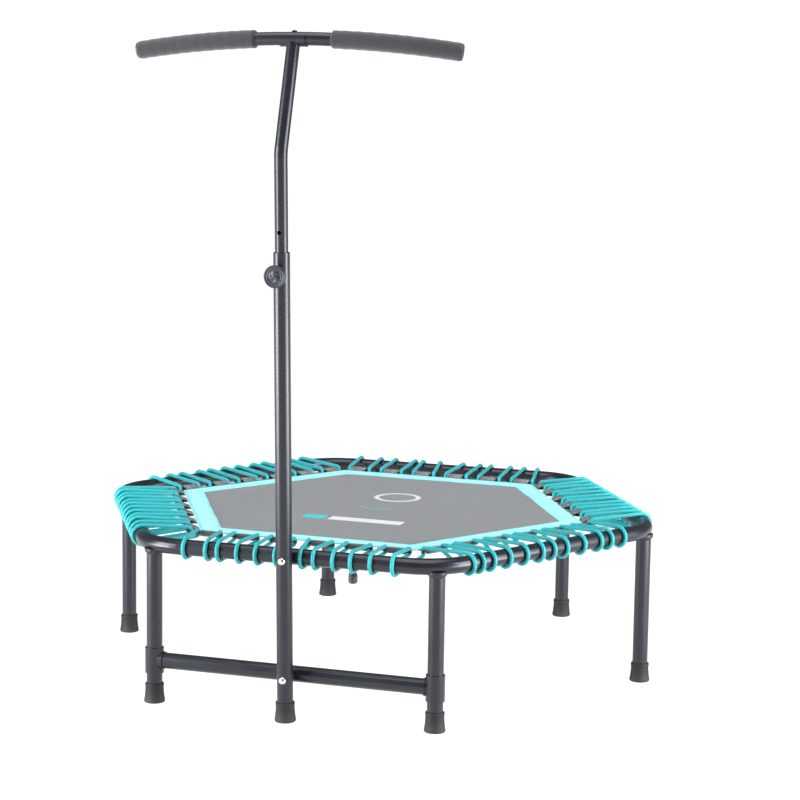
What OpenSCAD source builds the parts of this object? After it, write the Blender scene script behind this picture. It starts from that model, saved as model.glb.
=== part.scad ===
// Six-sided fitness trampoline on six legs, its mat laced to a tube ring with elastic cord,
// with a T-shaped handle on a front post that slides up and down and is held by a screw knob.
// Origin: on the floor, under the middle of the whole object. +Z up, -Y is the handle side.

/* [Ring] */
// Outside diameter of the ring, leg, crossbar and post tubes
tube_d = 32; // [30:0.5:34]
// Wall thickness of every steel tube
tube_wall = 1.5; // [1.2:0.1:2]
// Distance from the middle of the ring to a rail's centre line
rail_apothem = 527; // [500:1:560]
// Radius of the ring's corner bends, at the tube's centre line
bend_r = 120; // [100:1:140]
// Height of the ring's centre line above the floor
ring_z = 325; // [300:1:350]

/* [Legs] */
// Height of the leg tube's top edge
leg_top_z = 300; // [285:1:301]
// Height of a rubber boot
boot_h = 40; // [30:1:50]
// Diameter of a boot at the floor
boot_d = 42; // [40:1:46]
// Height of the crossbar's centre line above the floor
crossbar_z = 87; // [75:1:120]
// Length of the sleeves that hold the crossbar on the front legs
sleeve_h = 52; // [40:1:60]

/* [Post and mast] */
// Outward lean of the post, in degrees from upright
post_lean = 2.4; // [1:0.1:4]
// Length of the post along its axis, from the floor
post_l = 920; // [880:1:960]
// Place of the lock knob along the post
knob_at = 878; // [870:1:882]
// Outside diameter of the mast and handlebar tube
mast_d = 25.4; // [24:0.1:26]
// Place of the mast's bend along the post's axis
mast_bend_at = 1107; // [1080:1:1140]
// Angle of the mast's bend, towards the mat
mast_bend = 19.4; // [10:0.1:25]
// Distance between two height holes
hole_pitch = 80; // [60:1:90]

/* [Handlebar] */
// Distance between the two ends of the handlebar
bar_l = 646; // [600:1:700]
// How far the bar's ends drop below its middle
bar_drop = 23; // [10:1:30]
// How far the bar's ends sweep towards the mat
bar_sweep = 17; // [10:1:30]
// Length of bare bar between the two grips
bar_bare = 153; // [120:1:200]
// Outside diameter of a foam grip
grip_d = 34.5; // [32:0.5:38]

/* [Mat] */
// Height of the mat's underside above the floor
mat_z = 330; // [322:1:332]
// Distance from the middle of the mat to its corners
mat_corner_r = 465; // [455:1:468]
// Width of the coloured border band
border_w = 45; // [30:1:60]
// Turn of the mat in the ring, in degrees
mat_twist = -2; // [-3:0.5:0]

/* [Lacing] */
// Diameter of the elastic cord
cord_d = 8; // [6:0.5:8]
// Distance between the middles of two webbing tabs
tab_pitch = 81; // [78:1:82]
// Width of a webbing tab
tab_w = 38; // [30:1:38]

/* [Hidden] */

$fn = 48;
bar_fn = 240;
sides = 6;
step = 360 / sides;

// Colours
powder_coat = "#30343a";
rubber_black = "#26282a";
foam_grey = "#3c3e42";
bright_zinc = "#d0d2d4";
cord_teal = "#14c8cd";
border_aqua = "#90faf0";
mat_grey = "#6e7274";
webbing_black = "#3a3c3e";

// Ring
tube_r = tube_d / 2;
bore_r = tube_r - tube_wall;
bend_swell = 0.02;
bend_lap = 0.05;
corner_centre = (rail_apothem - bend_r) / cos(step / 2);
rail_half = corner_centre * sin(step / 2);
leg_circle_r = corner_centre + bend_r;

// Numbers of the sides and corners, counted anticlockwise from the front side and from corner 0 at +X
SIDE_FRONT = 0;
SIDE_FRONT_RIGHT = 1;
SIDE_BACK_RIGHT = 2;
SIDE_BACK = 3;
SIDE_BACK_LEFT = 4;
SIDE_FRONT_LEFT = 5;
CORNER_RIGHT = 0;
CORNER_BACK_RIGHT = 1;
CORNER_BACK_LEFT = 2;
CORNER_LEFT = 3;
CORNER_FRONT_LEFT = 4;
CORNER_FRONT_RIGHT = 5;

// Legs and boots
boot_floor = 5;
boot_top_r = tube_r + 1.8;
boot_edge = 2.5;
spigot_l = 50;
spigot_r = bore_r - 0.1;
weld_r = tube_r + 4;
sleeve_gap = 0.05;
sleeve_r = tube_r + 3;
leg_y = -leg_circle_r * sin(step);
leg_x = leg_circle_r * cos(step);

// Post: its own frame has Z along the post and -Y outwards, and starts at the floor
post_to_rail = tube_d + 0.2;
post_foot_y = -rail_apothem - (post_to_rail - ring_z * sin(post_lean)) / cos(post_lean);
rail_at = ring_z * cos(post_lean) + (rail_apothem + post_foot_y) * sin(post_lean);
crossbar_out = (leg_y - post_foot_y) * cos(post_lean) + crossbar_z * sin(post_lean);
crossbar_at = crossbar_z * cos(post_lean) - (leg_y - post_foot_y) * sin(post_lean);
bolt_r = 4;
bolt_hole_r = 4.2;
bolt_head_r = 7.2;
bolt_head_h = 4.2;
nut_r = 7.5;
nut_h = 6.5;
washer_r = 8.5;
washer_h = 1.5;
bolt_end = 4;
spacer_r = 10;
bush_l = 34;

// Lock knob, measured outwards from the post's axis
stud_r = 5;
stud_gap = 0.05;
stud_tip_r = 3.7;
stud_step = 17;
// How far the stud is moulded into the knob
stud_seat = 34;
boss_r = 10;
boss_face = 23;
lock_washer_r = 9;
lock_washer_h = 1.5;
lock_play = 0.1;
knob_back = boss_face + lock_washer_h + 2 * lock_play;
// Half outline of the knob: radius, distance from the post's axis
knob_outline = [[0, knob_back], [11, knob_back], [9.5, 29], [12, 31], [20, 31.5], [22, 33.5],
    [22, 38.5], [20.5, 40.5], [15.5, 40.5], [12.5, 38.5], [9, 41], [5, 42], [0, 42]];

// Mast
mast_r = mast_d / 2;
mast_bore_r = mast_r - tube_wall;
mast_foot_at = 650;
mast_hole_r = 4.1;
mast_bend_r = 60;
mast_bend_swell = 0.05;
mast_bend_lap = 0.5;
mast_upper_l = 221.8;
plug_l = 25;
plug_flange_r = bore_r - 0.1;
stud_tip = mast_r + 0.3;

// Handlebar: an arc in a tilted plane, through the top of the mast's axis
bar_sagitta = sqrt(bar_drop * bar_drop + bar_sweep * bar_sweep);
bar_arc_r = (bar_l * bar_l / 4 + bar_sagitta * bar_sagitta) / (2 * bar_sagitta);
bar_half_angle = asin(bar_l / 2 / bar_arc_r);
bar_bare_angle = asin(bar_bare / 2 / bar_arc_r);
bar_tilt = 180 - atan2(bar_drop, bar_sweep);
mast_top = [mast_upper_l * sin(mast_bend), mast_bend_at + mast_upper_l * cos(mast_bend)];
saddle_r = mast_r + 2.6;
saddle_l = 53;
saddle_wrap = 6;
bar_bolt_r = 3;
bar_hole_r = 3.2;
bar_bolt_head_r = 6;
bar_bolt_head_h = 4;
bar_bolt_l = 34;
bar_nut_r = 5.8;
bar_nut_h = 5;
grip_gap = 0.05;
end_plug_flange_h = 3;
end_plug_l = 20;

// Mat
sheet_h = 1.2;
border_h = 2;
mat_apothem = mat_corner_r * cos(step / 2);

// Tabs and rods, in the plane of one side: distance from the mat's middle, height
tab_count = 6;
rod_r = 2.6;
rod_l = 63;
rod_out = mat_apothem + 24;
rod_z = mat_z + 2;
tab_wall = 1.8;
tab_bore_r = 4.6;
tab_end_r = tab_bore_r + tab_wall;
tab_end_out = rod_out - (tab_bore_r - rod_r - 0.1);
tab_lip = 16;
tab_lip_h = 2;
tab_mouth_h = 3.6;
tab_slope = 18;

// Cord: each turn goes round the rail and round one end of a rod. Its section is a regular polygon
// inside the round cord, and its flats lie towards the rail and the rods
cord_r = cord_d / 2;
cord_facets = 8;
rail_turn_steps = 10;
rod_turn_steps = 5;
cord_clear = 0.2;
rail_turn_r = tube_r + cord_r + cord_clear;
rod_turn_r = rod_r + cord_r + cord_clear;
turn_dx = rod_out - rail_apothem;
turn_dz = rod_z - ring_z;
turn_gap = sqrt(turn_dx * turn_dx + turn_dz * turn_dz);
turn_dir = atan2(turn_dz, turn_dx);
turn_open = acos((rail_turn_r - rod_turn_r) / turn_gap);
top_angle = turn_dir - turn_open;
low_angle = turn_dir + turn_open;
rod_hook = tab_w / 2 + cord_r + 2;
// Where the turns sit along each rail, in the order of the sides
rail_places = [
    [-218, -171, -146, -105, -66, -25, 27, 54, 94, 130, 170, 215],
    [-230, -205, -175, -131, -85, -41, -8, 29, 79, 128, 159, 198],
    [-228, -190, -152, -120, -80, -36, 4, 44, 90, 126, 170, 206],
    [-224, -192, -158, -110, -83, -41, 17, 60, 80, 129, 167, 218],
    [-226, -186, -160, -108, -76, -30, 10, 52, 84, 134, 168, 214],
    [-222, -194, -150, -116, -70, -34, 6, 48, 92, 124, 172, 210]];
rod_places = [for (i = [0:tab_count - 1], hand = [-1, 1])
    (i - (tab_count - 1) / 2) * tab_pitch + hand * rod_hook];
turns = len(rod_places);
cap_turn = 9;
cap_r = 9;
cap_h = 20;
cap_top_z = ring_z - 25.6;
cap_out = rail_apothem - 12;
cap_along = rail_places[SIDE_FRONT][cap_turn] - 4;
cap_bore_l = 10;
cap_mouth = [cap_out, cap_along, cap_top_z - cap_bore_l + 1];
cap_tail_l = ring_z - 20 - cap_mouth[2];

// The origin is halfway between the knob's face and the back of the cord
knob_reach = max([for (p = knob_outline) p[1] * cos(post_lean) + p[0] * sin(post_lean)]);
front_y = post_foot_y - knob_at * sin(post_lean) - knob_reach;
back_y = rail_apothem + rail_turn_r + cord_r;
middle_y = (front_y + back_y) / 2;

// ---------------------------------------------------------------- frames of reference

module placed() translate([0, -middle_y, 0]) children();

// X points out from the middle, Y runs along the rail
module on_side(k) rotate([0, 0, k * step - 90]) children();

module on_mat() rotate([0, 0, mat_twist]) children();

module at_corner(k) rotate([0, 0, k * step]) translate([leg_circle_r, 0, 0]) children();

module on_post() translate([0, post_foot_y, 0]) rotate([post_lean, 0, 0]) children();

// Z points outwards from the post at a height on its axis
module facing_out(at) on_post() translate([0, 0, at]) rotate([90, 0, 0]) children();

module on_upper_mast() on_post() translate([0, 0, mast_bend_at]) rotate([-mast_bend, 0, 0])
    children();

// ---------------------------------------------------------------- shared shapes

module bar_arc(r, from, to) {
    on_post() translate([0, mast_top[0], mast_top[1]]) rotate([bar_tilt - post_lean, 0, 0])
        translate([0, -bar_arc_r, 0]) rotate([0, 0, 90 + from])
            rotate_extrude(angle = to - from, $fn = bar_fn) translate([bar_arc_r, 0])
                circle(r = r, $fn = 48);
}

module hex_nut(r, h, hole_r) {
    difference() {
        cylinder(h = h, r = r, $fn = 6);
        translate([0, 0, -1]) cylinder(h = h + 2, r = hole_r);
    }
}

module dome(r, h) {
    ball_r = (r * r + h * h) / (2 * h);
    intersection() {
        translate([0, 0, h - ball_r]) sphere(r = ball_r);
        cylinder(h = h + 1, r = r);
    }
}

// Full ring at a tube radius
module ring_shape(r) {
    for (k = [0:sides - 1]) {
        on_side(k) translate([rail_apothem, rail_half + bend_lap, ring_z]) rotate([90, 0, 0])
            cylinder(h = 2 * (rail_half + bend_lap), r = r);
        corner_bend(k, r);
    }
}

// A bend is a hair wider than the straight tube that it joins, as a bent tube is
module corner_bend(k, r) {
    rotate([0, 0, k * step]) translate([corner_centre, 0, ring_z]) rotate([0, 0, -step / 2])
        rotate_extrude(angle = step) translate([bend_r, 0]) circle(r = r + bend_swell);
}

// ---------------------------------------------------------------- ring and legs

module ring_tube() color(powder_coat) placed() {
    difference() {
        ring_shape(tube_r);
        ring_shape(bore_r);
        facing_out(rail_at) translate([0, 0, -2 * tube_d]) cylinder(h = 2 * tube_d, r = bolt_hole_r);
    }
}

module leg_sockets() color(powder_coat) placed() {
    for (k = [0:sides - 1]) difference() {
        at_corner(k) difference() {
            union() {
                translate([0, 0, leg_top_z - spigot_l]) cylinder(h = spigot_l + 1, r = spigot_r);
                translate([0, 0, leg_top_z]) cylinder(h = 4, r = tube_r);
                translate([0, 0, leg_top_z + 4]) cylinder(h = 7, r1 = tube_r, r2 = weld_r);
                translate([0, 0, leg_top_z + 11]) cylinder(h = 5, r = weld_r);
            }
            translate([0, 0, leg_top_z - spigot_l - 1])
                cylinder(h = spigot_l + 4, r = spigot_r - tube_wall);
        }
        corner_bend(k, tube_r);
    }
}

module leg(k) color(powder_coat) placed() at_corner(k) difference() {
    translate([0, 0, boot_floor]) cylinder(h = leg_top_z - boot_floor, r = tube_r);
    cylinder(h = leg_top_z + 1, r = bore_r);
}

module leg_front_left() leg(CORNER_FRONT_LEFT);
module leg_front_right() leg(CORNER_FRONT_RIGHT);
module leg_right() leg(CORNER_RIGHT);
module leg_back_right() leg(CORNER_BACK_RIGHT);
module leg_back_left() leg(CORNER_BACK_LEFT);
module leg_left() leg(CORNER_LEFT);

// A flared boot with a closed floor; foot is how far it runs below z = 0
module boot_shape(foot) difference() {
    rotate_extrude() polygon([[0, -foot], [boot_d / 2, -foot], [boot_d / 2, boot_edge],
        [boot_top_r, boot_h - boot_edge], [boot_top_r - 1, boot_h], [0, boot_h]]);
    translate([0, 0, boot_floor]) cylinder(h = boot_h, r = tube_r);
}

module boot(k) color(rubber_black) placed() at_corner(k) boot_shape(0);

module boot_front_left() boot(CORNER_FRONT_LEFT);
module boot_front_right() boot(CORNER_FRONT_RIGHT);
module boot_right() boot(CORNER_RIGHT);
module boot_back_right() boot(CORNER_BACK_RIGHT);
module boot_back_left() boot(CORNER_BACK_LEFT);
module boot_left() boot(CORNER_LEFT);

// The post leans, so its boot is cut level with the floor
module boot_post() color(rubber_black) placed() difference() {
    on_post() boot_shape(boot_edge);
    translate([-boot_d, post_foot_y - boot_d, -boot_d]) cube([2 * boot_d, 2 * boot_d, boot_d]);
}

module crossbar() color(powder_coat) placed() difference() {
    translate([-leg_x, leg_y, crossbar_z]) rotate([0, 90, 0]) {
        cylinder(h = 2 * leg_x, r = tube_r);
        for (end = [sleeve_r - 1, 2 * leg_x - sleeve_r - 3])
            translate([0, 0, end]) cylinder(h = 4, r = tube_r + 2);
    }
    translate([-leg_x - 1, leg_y, crossbar_z]) rotate([0, 90, 0])
        cylinder(h = 2 * leg_x + 2, r = bore_r);
    for (hand = [-1, 1])
        translate([hand * leg_x, leg_y, crossbar_z - sleeve_h]) cylinder(h = 2 * sleeve_h, r = sleeve_r);
    facing_out(crossbar_at) translate([0, 0, -2 * tube_d]) cylinder(h = 2 * tube_d, r = bolt_hole_r);
}

module crossbar_sleeve(hand) color(powder_coat) placed()
    translate([hand * leg_x, leg_y, crossbar_z - sleeve_h / 2]) difference() {
        cylinder(h = sleeve_h, r = sleeve_r);
        translate([0, 0, -1]) cylinder(h = sleeve_h + 2, r = tube_r + sleeve_gap);
    }

module crossbar_sleeve_left() crossbar_sleeve(-1);
module crossbar_sleeve_right() crossbar_sleeve(1);

// ---------------------------------------------------------------- post

module post_tube() color(powder_coat) placed() difference() {
    on_post() translate([0, 0, boot_floor]) cylinder(h = post_l - boot_floor, r = tube_r);
    on_post() cylinder(h = post_l + 1, r = bore_r);
    for (at = [rail_at, crossbar_at])
        facing_out(at) translate([0, 0, -tube_d]) cylinder(h = 2 * tube_d, r = bolt_hole_r);
    facing_out(knob_at) cylinder(h = tube_d, r = stud_r + stud_gap);
}

// Keeps the post off the crossbar, shaped to both tubes
module post_spacer() color(rubber_black) placed() difference() {
    facing_out(crossbar_at) translate([0, 0, -crossbar_out]) cylinder(h = crossbar_out, r = spacer_r);
    on_post() cylinder(h = post_l, r = tube_r);
    translate([-leg_x, leg_y, crossbar_z]) rotate([0, 90, 0]) cylinder(h = 2 * leg_x, r = tube_r);
    facing_out(crossbar_at) translate([0, 0, -2 * tube_d]) cylinder(h = 4 * tube_d, r = bolt_hole_r);
}

module post_bush() color(rubber_black) placed() on_post()
    translate([0, 0, post_l - bush_l]) difference() {
        cylinder(h = bush_l, r = bore_r - 0.05);
        translate([0, 0, -1]) cylinder(h = bush_l + 2, r = mast_r + 0.05);
    }

// Nut faces: one bolt goes through the rail, one through the crossbar
bolt_rows = [[rail_at, post_to_rail + tube_r], [crossbar_at, crossbar_out + tube_r]];

module post_bolts() color(bright_zinc) placed() for (row = bolt_rows) {
    length = row[1] + washer_h + nut_h + bolt_end;
    facing_out(row[0]) {
        translate([0, 0, -length]) cylinder(h = length + tube_r, r = bolt_r);
        translate([0, 0, tube_r]) dome(bolt_head_r, bolt_head_h);
    }
}

module post_nuts() color(bright_zinc) placed() for (row = bolt_rows)
    facing_out(row[0]) translate([0, 0, -row[1] - washer_h - nut_h]) {
        hex_nut(nut_r, nut_h, bolt_r + stud_gap);
        translate([0, 0, nut_h]) difference() {
            cylinder(h = washer_h, r = washer_r);
            translate([0, 0, -1]) cylinder(h = washer_h + 2, r = bolt_r + stud_gap);
        }
    }

// ---------------------------------------------------------------- lock knob

module knob_boss() color(powder_coat) placed() difference() {
    facing_out(knob_at) cylinder(h = boss_face, r = boss_r);
    on_post() cylinder(h = post_l, r = tube_r);
    facing_out(knob_at) cylinder(h = 2 * boss_face, r = stud_r + stud_gap);
}

module lock_washer() color(bright_zinc) placed() facing_out(knob_at)
    translate([0, 0, boss_face + lock_play]) difference() {
        cylinder(h = lock_washer_h, r = lock_washer_r);
        translate([0, 0, -1]) cylinder(h = lock_washer_h + 2, r = stud_r + stud_gap);
    }

module knob_head() color(rubber_black) placed() facing_out(knob_at) difference() {
    rotate_extrude() polygon(knob_outline);
    cylinder(h = stud_seat, r = stud_r);
}

module knob_stud() color(bright_zinc) placed() facing_out(knob_at) {
    translate([0, 0, stud_tip]) cylinder(h = stud_step - stud_tip + 1, r = stud_tip_r);
    translate([0, 0, stud_step]) cylinder(h = stud_seat - stud_step, r = stud_r);
}

// ---------------------------------------------------------------- mast and handlebar

module mast_path(r, from, to) {
    run = mast_bend_r * tan(mast_bend / 2);
    on_post() {
        translate([0, 0, from]) cylinder(h = mast_bend_at - run - from + mast_bend_lap, r = r);
        translate([0, mast_bend_r, mast_bend_at - run]) rotate([90, 0, -90])
            rotate_extrude(angle = mast_bend) translate([mast_bend_r, 0]) circle(r = r + mast_bend_swell);
    }
    on_upper_mast() translate([0, 0, run - mast_bend_lap]) cylinder(h = to - run + mast_bend_lap, r = r);
}

module mast_tube() color(powder_coat) placed() difference() {
    mast_path(mast_r, mast_foot_at, mast_upper_l);
    mast_path(mast_bore_r, mast_foot_at - 1, mast_upper_l + 1);
    for (i = [-2:1]) facing_out(knob_at + i * hole_pitch) cylinder(h = tube_d, r = mast_hole_r);
    on_post() translate([-saddle_l, mast_top[0], mast_top[1]]) rotate([0, 90, 0])
        cylinder(h = 2 * saddle_l, r = saddle_r + grip_gap);
}

module mast_plug() color(rubber_black) placed() on_post() translate([0, 0, mast_foot_at]) {
    translate([0, 0, -3]) cylinder(h = 3, r = plug_flange_r);
    cylinder(h = plug_l, r = mast_bore_r - 0.05);
}

// Half sleeve under the middle of the bar, welded on the mast's top
module bar_saddle() color(powder_coat) placed() {
    wrap = asin(saddle_l / 2 / bar_arc_r);
    difference() {
        bar_arc(saddle_r, -wrap, wrap);
        bar_arc(mast_r + grip_gap, -2 * wrap, 2 * wrap);
        on_upper_mast() translate([-saddle_l, -saddle_l, mast_upper_l + saddle_wrap - mast_r / 2])
            cube([2 * saddle_l, 2 * saddle_l, saddle_l]);
        on_upper_mast() cylinder(h = 2 * mast_upper_l, r = bar_hole_r);
    }
}

module handlebar() color(powder_coat) placed() difference() {
    bar_arc(mast_r, -bar_half_angle, bar_half_angle);
    bar_arc(mast_bore_r, -bar_half_angle - 1, bar_half_angle + 1);
    on_upper_mast() cylinder(h = 2 * mast_upper_l, r = bar_hole_r);
}

module bar_bolt() color(powder_coat) placed() on_upper_mast()
    translate([0, 0, mast_upper_l + mast_r]) {
        translate([0, 0, -bar_bolt_l]) cylinder(h = bar_bolt_l, r = bar_bolt_r);
        dome(bar_bolt_head_r, bar_bolt_head_h);
    }

module bar_nut() color(bright_zinc) placed() on_upper_mast()
    translate([0, 0, mast_upper_l - saddle_r - bar_nut_h]) hex_nut(bar_nut_r, bar_nut_h, bar_hole_r);

module grip(hand) color(foam_grey) placed() {
    inner = hand > 0 ? -bar_half_angle : bar_bare_angle;
    outer = hand > 0 ? -bar_bare_angle : bar_half_angle;
    difference() {
        bar_arc(grip_d / 2, inner, outer);
        bar_arc(mast_r + grip_gap, inner - 1, outer + 1);
    }
}

module grip_left() grip(-1);
module grip_right() grip(1);

module bar_end_plugs() color(rubber_black) placed() {
    flange = end_plug_flange_h / bar_arc_r * 180 / PI;
    depth = end_plug_l / bar_arc_r * 180 / PI;
    for (hand = [0, 1]) mirror([hand, 0, 0]) {
        bar_arc(grip_d / 2 - 1.5, bar_half_angle, bar_half_angle + flange);
        bar_arc(mast_bore_r - grip_gap, bar_half_angle - depth, bar_half_angle + flange / 2);
    }
}

// ---------------------------------------------------------------- mat

module mat_sheet() color(mat_grey) placed() on_mat() translate([0, 0, mat_z])
    linear_extrude(sheet_h) circle(r = mat_corner_r, $fn = sides);

module mat_border() color(border_aqua) placed() on_mat() translate([0, 0, mat_z + sheet_h])
    linear_extrude(border_h) difference() {
        circle(r = mat_corner_r, $fn = sides);
        circle(r = (mat_apothem - border_w) / cos(step / 2), $fn = sides);
    }

// Cross-section of a webbing tab: a flat lip under the mat that opens into a round loop
module tab_section() {
    mouth_out = mat_apothem + 1;
    difference() {
        union() {
            translate([mat_apothem - tab_lip, mat_z - tab_lip_h]) square([tab_lip + 1, tab_lip_h]);
            translate([tab_end_out, rod_z]) circle(r = tab_end_r);
            polygon([[mouth_out, mat_z - tab_lip_h], [mouth_out, mat_z - tab_lip_h + tab_mouth_h],
                [tab_end_out - tab_end_r * sin(tab_slope), rod_z + tab_end_r * cos(tab_slope)],
                [tab_end_out - tab_end_r * sin(tab_slope), rod_z - tab_end_r * cos(tab_slope)]]);
        }
        translate([tab_end_out, rod_z]) circle(r = tab_bore_r);
        polygon([[mouth_out + 7, rod_z - 0.6], [mouth_out + 7, rod_z + 0.6],
            [tab_end_out, rod_z + tab_bore_r - 0.4], [tab_end_out, rod_z - tab_bore_r + 0.4]]);
    }
}

module each_tab(k) placed() on_mat() on_side(k) for (i = [0:tab_count - 1])
    translate([0, (i - (tab_count - 1) / 2) * tab_pitch, 0]) rotate([90, 0, 0]) children();

module tabs(k) color(webbing_black) each_tab(k)
    translate([0, 0, -tab_w / 2]) linear_extrude(tab_w) tab_section();

module tabs_front() tabs(SIDE_FRONT);
module tabs_front_right() tabs(SIDE_FRONT_RIGHT);
module tabs_back_right() tabs(SIDE_BACK_RIGHT);
module tabs_back() tabs(SIDE_BACK);
module tabs_back_left() tabs(SIDE_BACK_LEFT);
module tabs_front_left() tabs(SIDE_FRONT_LEFT);

module rods(k) color(rubber_black) each_tab(k)
    translate([rod_out, rod_z, -rod_l / 2]) cylinder(h = rod_l, r = rod_r);

module rods_front() rods(SIDE_FRONT);
module rods_front_right() rods(SIDE_FRONT_RIGHT);
module rods_back_right() rods(SIDE_BACK_RIGHT);
module rods_back() rods(SIDE_BACK);
module rods_back_left() rods(SIDE_BACK_LEFT);
module rods_front_left() rods(SIDE_FRONT_LEFT);

// ---------------------------------------------------------------- elastic cord

// A point in a side's frame: out from the middle, along the rail, height
function turned(p, a) = [p[0] * cos(a) - p[1] * sin(a), p[0] * sin(a) + p[1] * cos(a), p[2]];
function rail_turn(s) = [for (j = [0:rail_turn_steps])
    let (a = top_angle + (low_angle - 360 - top_angle) * j / rail_turn_steps)
        [rail_apothem + rail_turn_r * cos(a), s, ring_z + rail_turn_r * sin(a)]];
function rod_turn(s) = [for (j = [0:rod_turn_steps])
    let (a = low_angle + (top_angle - low_angle) * j / rod_turn_steps)
        turned([rod_out + rod_turn_r * cos(a), s, rod_z + rod_turn_r * sin(a)], mat_twist)];

// The last strand runs on towards the next side's first rod and stops a hair before its cord
function next_side(k) =
    let (low = rail_turn(rail_places[k][turns - 1])[rail_turn_steps],
        reach = turned(rod_turn(rod_places[0])[0], step) - low)
        low + reach * (1 - (cord_r + cord_clear) / norm(reach));
function cord_path(k) = [
    for (i = [0:turns - 1]) each concat(rod_turn(rod_places[i]), rail_turn(rail_places[k][i])),
    next_side(k)];

function unit(v) = v / norm(v);
// One section of the cord, square to its run, with its flats towards and away from the rail
function section(p, run) =
    let (side = unit([0, 1, 0] - run * run[1]), face = cross(run, side))
        [for (j = [0:cord_facets - 1]) let (a = (j + 0.5) * 360 / cord_facets)
            p + cord_r * (cos(a) * side + sin(a) * face)];

module swept_cord(path) {
    last = len(path) - 1;
    n = cord_facets;
    runs = [for (i = [0:last])
        unit(path[min(i + 1, last)] - path[min(i, last - 1)])
            + (i > 0 ? unit(path[i] - path[i - 1]) : [0, 0, 0])];
    polyhedron(
        points = [for (i = [0:last]) each section(path[i], unit(runs[i]))],
        faces = concat(
            [[for (j = [0:n - 1]) j]],
            [[for (j = [n - 1:-1:0]) last * n + j]],
            [for (i = [0:last - 1], j = [0:n - 1])
                [i * n + j, (i + 1) * n + j, i * n + (j + 1) % n]],
            [for (i = [0:last - 1], j = [0:n - 1])
                [(i + 1) * n + j, (i + 1) * n + (j + 1) % n, i * n + (j + 1) % n]]));
}

module cord(k) color(cord_teal) placed() on_side(k) swept_cord(cord_path(k));

module cord_front() {
    cord(SIDE_FRONT);
    color(cord_teal) placed() on_side(SIDE_FRONT)
        translate(cap_mouth) cylinder(h = cap_tail_l, r = cord_r);
}
module cord_front_right() cord(SIDE_FRONT_RIGHT);
module cord_back_right() cord(SIDE_BACK_RIGHT);
module cord_back() cord(SIDE_BACK);
module cord_back_left() cord(SIDE_BACK_LEFT);
module cord_front_left() cord(SIDE_FRONT_LEFT);

// Hard cap on the cord's tail, under the front rail
module cord_end_cap() color(rubber_black) placed() on_side(SIDE_FRONT)
    translate([cap_out, cap_along, cap_top_z - cap_h]) difference() {
        rotate_extrude() polygon([[0, 0], [cap_r - 2, 0], [cap_r, 3], [cap_r, cap_h - 5],
            [cap_r - 1.5, cap_h], [0, cap_h]]);
        translate([0, 0, cap_h - cap_bore_l]) cylinder(h = cap_bore_l + 1, r = cord_r + 0.05);
    }

ring_tube();
leg_sockets();
leg_front_left();
leg_front_right();
leg_right();
leg_back_right();
leg_back_left();
leg_left();
boot_front_left();
boot_front_right();
boot_right();
boot_back_right();
boot_back_left();
boot_left();
boot_post();
crossbar();
crossbar_sleeve_left();
crossbar_sleeve_right();
post_spacer();
post_tube();
post_bush();
post_bolts();
post_nuts();
knob_boss();
lock_washer();
knob_head();
knob_stud();
mast_tube();
mast_plug();
bar_saddle();
handlebar();
bar_bolt();
bar_nut();
grip_left();
grip_right();
bar_end_plugs();
mat_sheet();
mat_border();
tabs_front();
tabs_front_right();
tabs_back_right();
tabs_back();
tabs_back_left();
tabs_front_left();
rods_front();
rods_front_right();
rods_back_right();
rods_back();
rods_back_left();
rods_front_left();
cord_front();
cord_front_right();
cord_back_right();
cord_back();
cord_back_left();
cord_front_left();
cord_end_cap();
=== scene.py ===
import math
import random

import bmesh
import bpy
import numpy as np
from mathutils import Matrix, Vector


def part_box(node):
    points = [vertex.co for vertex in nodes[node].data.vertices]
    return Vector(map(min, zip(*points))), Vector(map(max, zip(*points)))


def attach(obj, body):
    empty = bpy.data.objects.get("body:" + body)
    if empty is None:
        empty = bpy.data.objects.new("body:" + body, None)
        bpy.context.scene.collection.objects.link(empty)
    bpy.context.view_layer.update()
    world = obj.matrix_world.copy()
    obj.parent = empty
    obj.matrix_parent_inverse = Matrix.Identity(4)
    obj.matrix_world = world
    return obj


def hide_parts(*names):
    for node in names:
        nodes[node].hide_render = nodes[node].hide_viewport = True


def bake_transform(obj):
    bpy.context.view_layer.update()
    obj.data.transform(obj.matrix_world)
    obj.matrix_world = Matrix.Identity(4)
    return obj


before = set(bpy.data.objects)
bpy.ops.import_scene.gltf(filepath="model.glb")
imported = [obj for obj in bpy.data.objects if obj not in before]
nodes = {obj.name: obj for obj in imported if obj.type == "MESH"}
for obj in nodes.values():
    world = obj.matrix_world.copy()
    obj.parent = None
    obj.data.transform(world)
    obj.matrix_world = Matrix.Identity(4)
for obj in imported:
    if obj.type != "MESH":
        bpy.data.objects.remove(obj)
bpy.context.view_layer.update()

# ---------------------------------------------------------------- sizes, in metres, as the CAD has them
MM = 0.001
ring_low, ring_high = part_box("ring_tube")
sheet_low, sheet_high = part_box("mat_sheet")
border_low, border_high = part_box("mat_border")
CENTRE = (ring_low + ring_high) / 2
RING_Z = 325 * MM
TUBE_R = 16 * MM
RAIL_APOTHEM = 527 * MM
SIDES = ("front", "front_right", "back_right", "back", "back_left", "front_left")
STEP_ANGLE = math.pi / 3
RAIL_HALF = 235 * MM

MAT_TWIST = math.radians(-2)
MAT_CORNER_R = 465 * MM
MAT_APOTHEM = MAT_CORNER_R * math.cos(STEP_ANGLE / 2)
MAT_Z = sheet_low.z
BORDER_W = 45 * MM
TAB_COUNT = 6
TAB_PITCH = 81 * MM
TAB_W = 38 * MM
ROD_R = 2.6 * MM
ROD_OUT = MAT_APOTHEM + 24 * MM
ROD_Z = MAT_Z + 2 * MM
ROD_HALF = 31.5 * MM
TAB_WALL = 1.8 * MM
TAB_BORE_R = 4.6 * MM
# How far the mat's edge is pulled in between two tabs
EDGE_PULL = 1.6 * MM
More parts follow.
